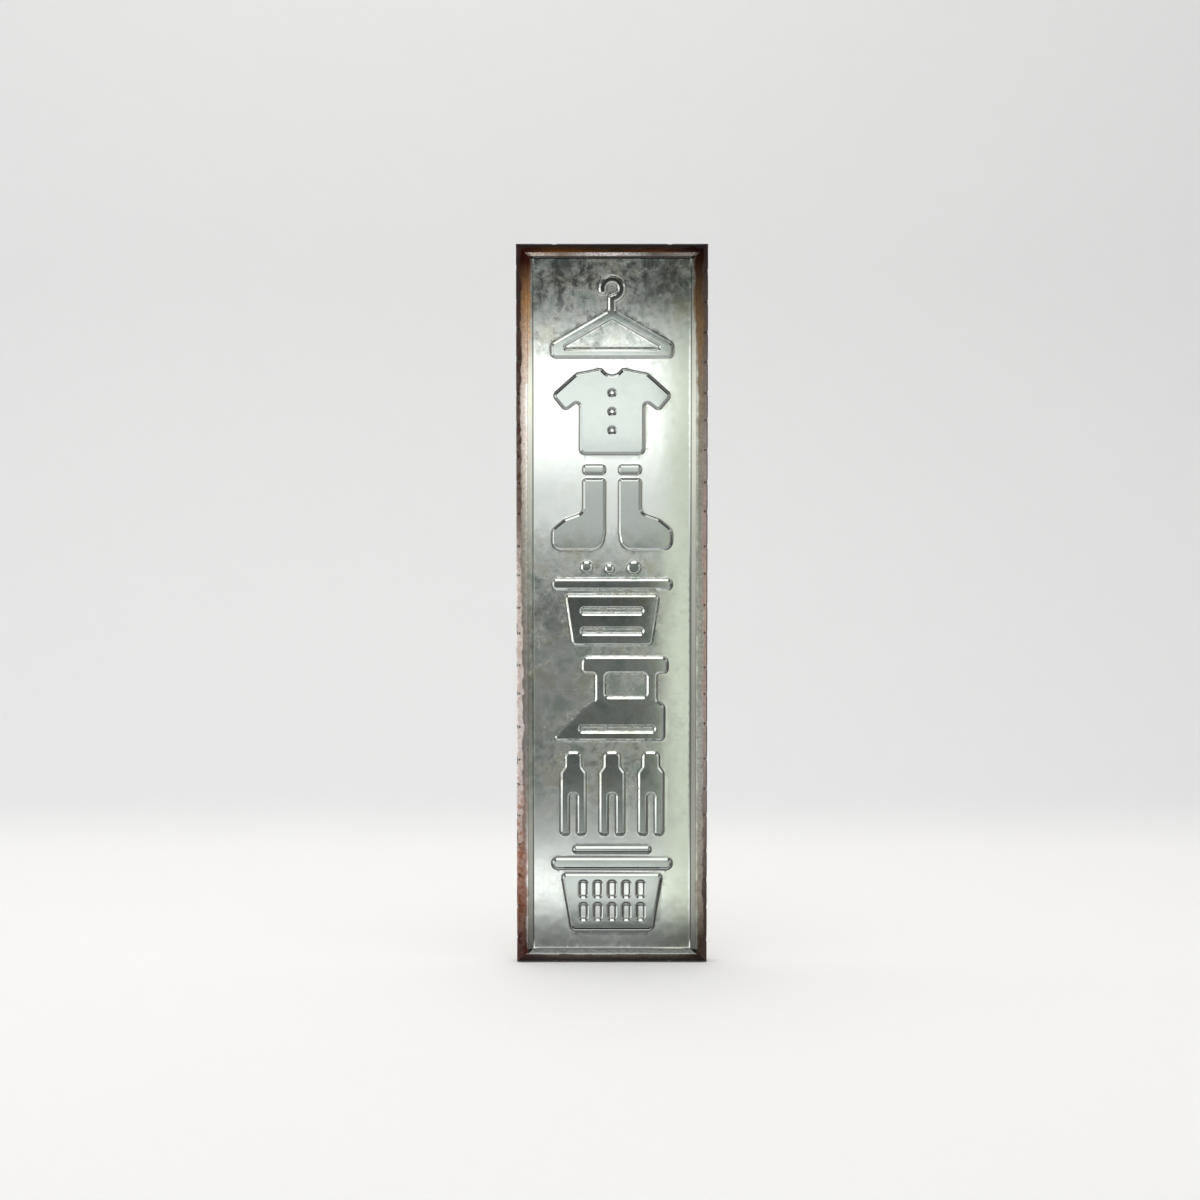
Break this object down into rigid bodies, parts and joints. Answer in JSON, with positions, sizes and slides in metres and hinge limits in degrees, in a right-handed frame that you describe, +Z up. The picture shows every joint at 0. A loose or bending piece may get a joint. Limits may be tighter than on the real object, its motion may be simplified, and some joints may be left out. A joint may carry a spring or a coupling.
{
  "type": "wall sign",
  "caption": "Tall narrow pressed-steel wall sign: raised rim, recessed field with embossed wash-day pictures, folded edges tacked to a batten frame, swinging hanging ring.",
  "frame": {"origin": "middle of the back face of the middle rail, in the plane that lies on the wall", "axes": "+Z up the sign, +Y out of the back into the wall, -Y out of the face, +X to the viewer's right"},
  "size_m": [0.2126, 0.0235, 0.8],
  "materials": {
    "galvanised_sheet": "bright galvanised steel with spangle, rim worn to copper and rust brown",
    "pine": "sawn, unfinished",
    "tack_steel": "blued, dull",
    "zinc_plate": "zinc plated, satin"
  },
  "bodies": {
    "sign": {"face_sheet": "galvanised_sheet", "hanger_strap": "zinc_plate", "hanger_screw": "zinc_plate", "left_stile": "pine", "right_stile": "pine", "top_rail": "pine", "middle_rail": "pine", "bottom_rail": "pine", "left_tack_01": "tack_steel", "left_tack_02": "tack_steel", "left_tack_03": "tack_steel", "left_tack_04": "tack_steel", "left_tack_05": "tack_steel", "left_tack_06": "tack_steel", "left_tack_07": "tack_steel", "left_tack_08": "tack_steel", "left_tack_09": "tack_steel", "left_tack_10": "tack_steel", "left_tack_11": "tack_steel", "left_tack_12": "tack_steel", "left_tack_13": "tack_steel", "left_tack_14": "tack_steel", "left_tack_15": "tack_steel", "left_tack_16": "tack_steel", "left_tack_17": "tack_steel", "left_tack_18": "tack_steel", "left_tack_19": "tack_steel", "left_tack_20": "tack_steel", "left_tack_21": "tack_steel", "left_tack_22": "tack_steel", "left_tack_23": "tack_steel", "right_tack_01": "tack_steel", "right_tack_02": "tack_steel", "right_tack_03": "tack_steel", "right_tack_04": "tack_steel", "right_tack_05": "tack_steel", "right_tack_06": "tack_steel", "right_tack_07": "tack_steel", "right_tack_08": "tack_steel", "right_tack_09": "tack_steel", "right_tack_10": "tack_steel", "right_tack_11": "tack_steel", "right_tack_12": "tack_steel", "right_tack_13": "tack_steel", "right_tack_14": "tack_steel", "right_tack_15": "tack_steel", "right_tack_16": "tack_steel", "right_tack_17": "tack_steel", "right_tack_18": "tack_steel", "right_tack_19": "tack_steel", "right_tack_20": "tack_steel", "right_tack_21": "tack_steel", "right_tack_22": "tack_steel", "right_tack_23": "tack_steel", "top_tack_1": "tack_steel", "top_tack_2": "tack_steel", "bottom_tack_1": "tack_steel", "bottom_tack_2": "tack_steel"},
    "ring": {"hanger_ring": "zinc_plate"}
  },
  "joints": [
    {"name": "ring_swing", "type": "hinge", "parent": "sign", "child": "ring", "pos_m": [0, 0.0024, 0.3848], "axis": [1, 0, 0], "range_deg": [0, 180]}
  ]
}
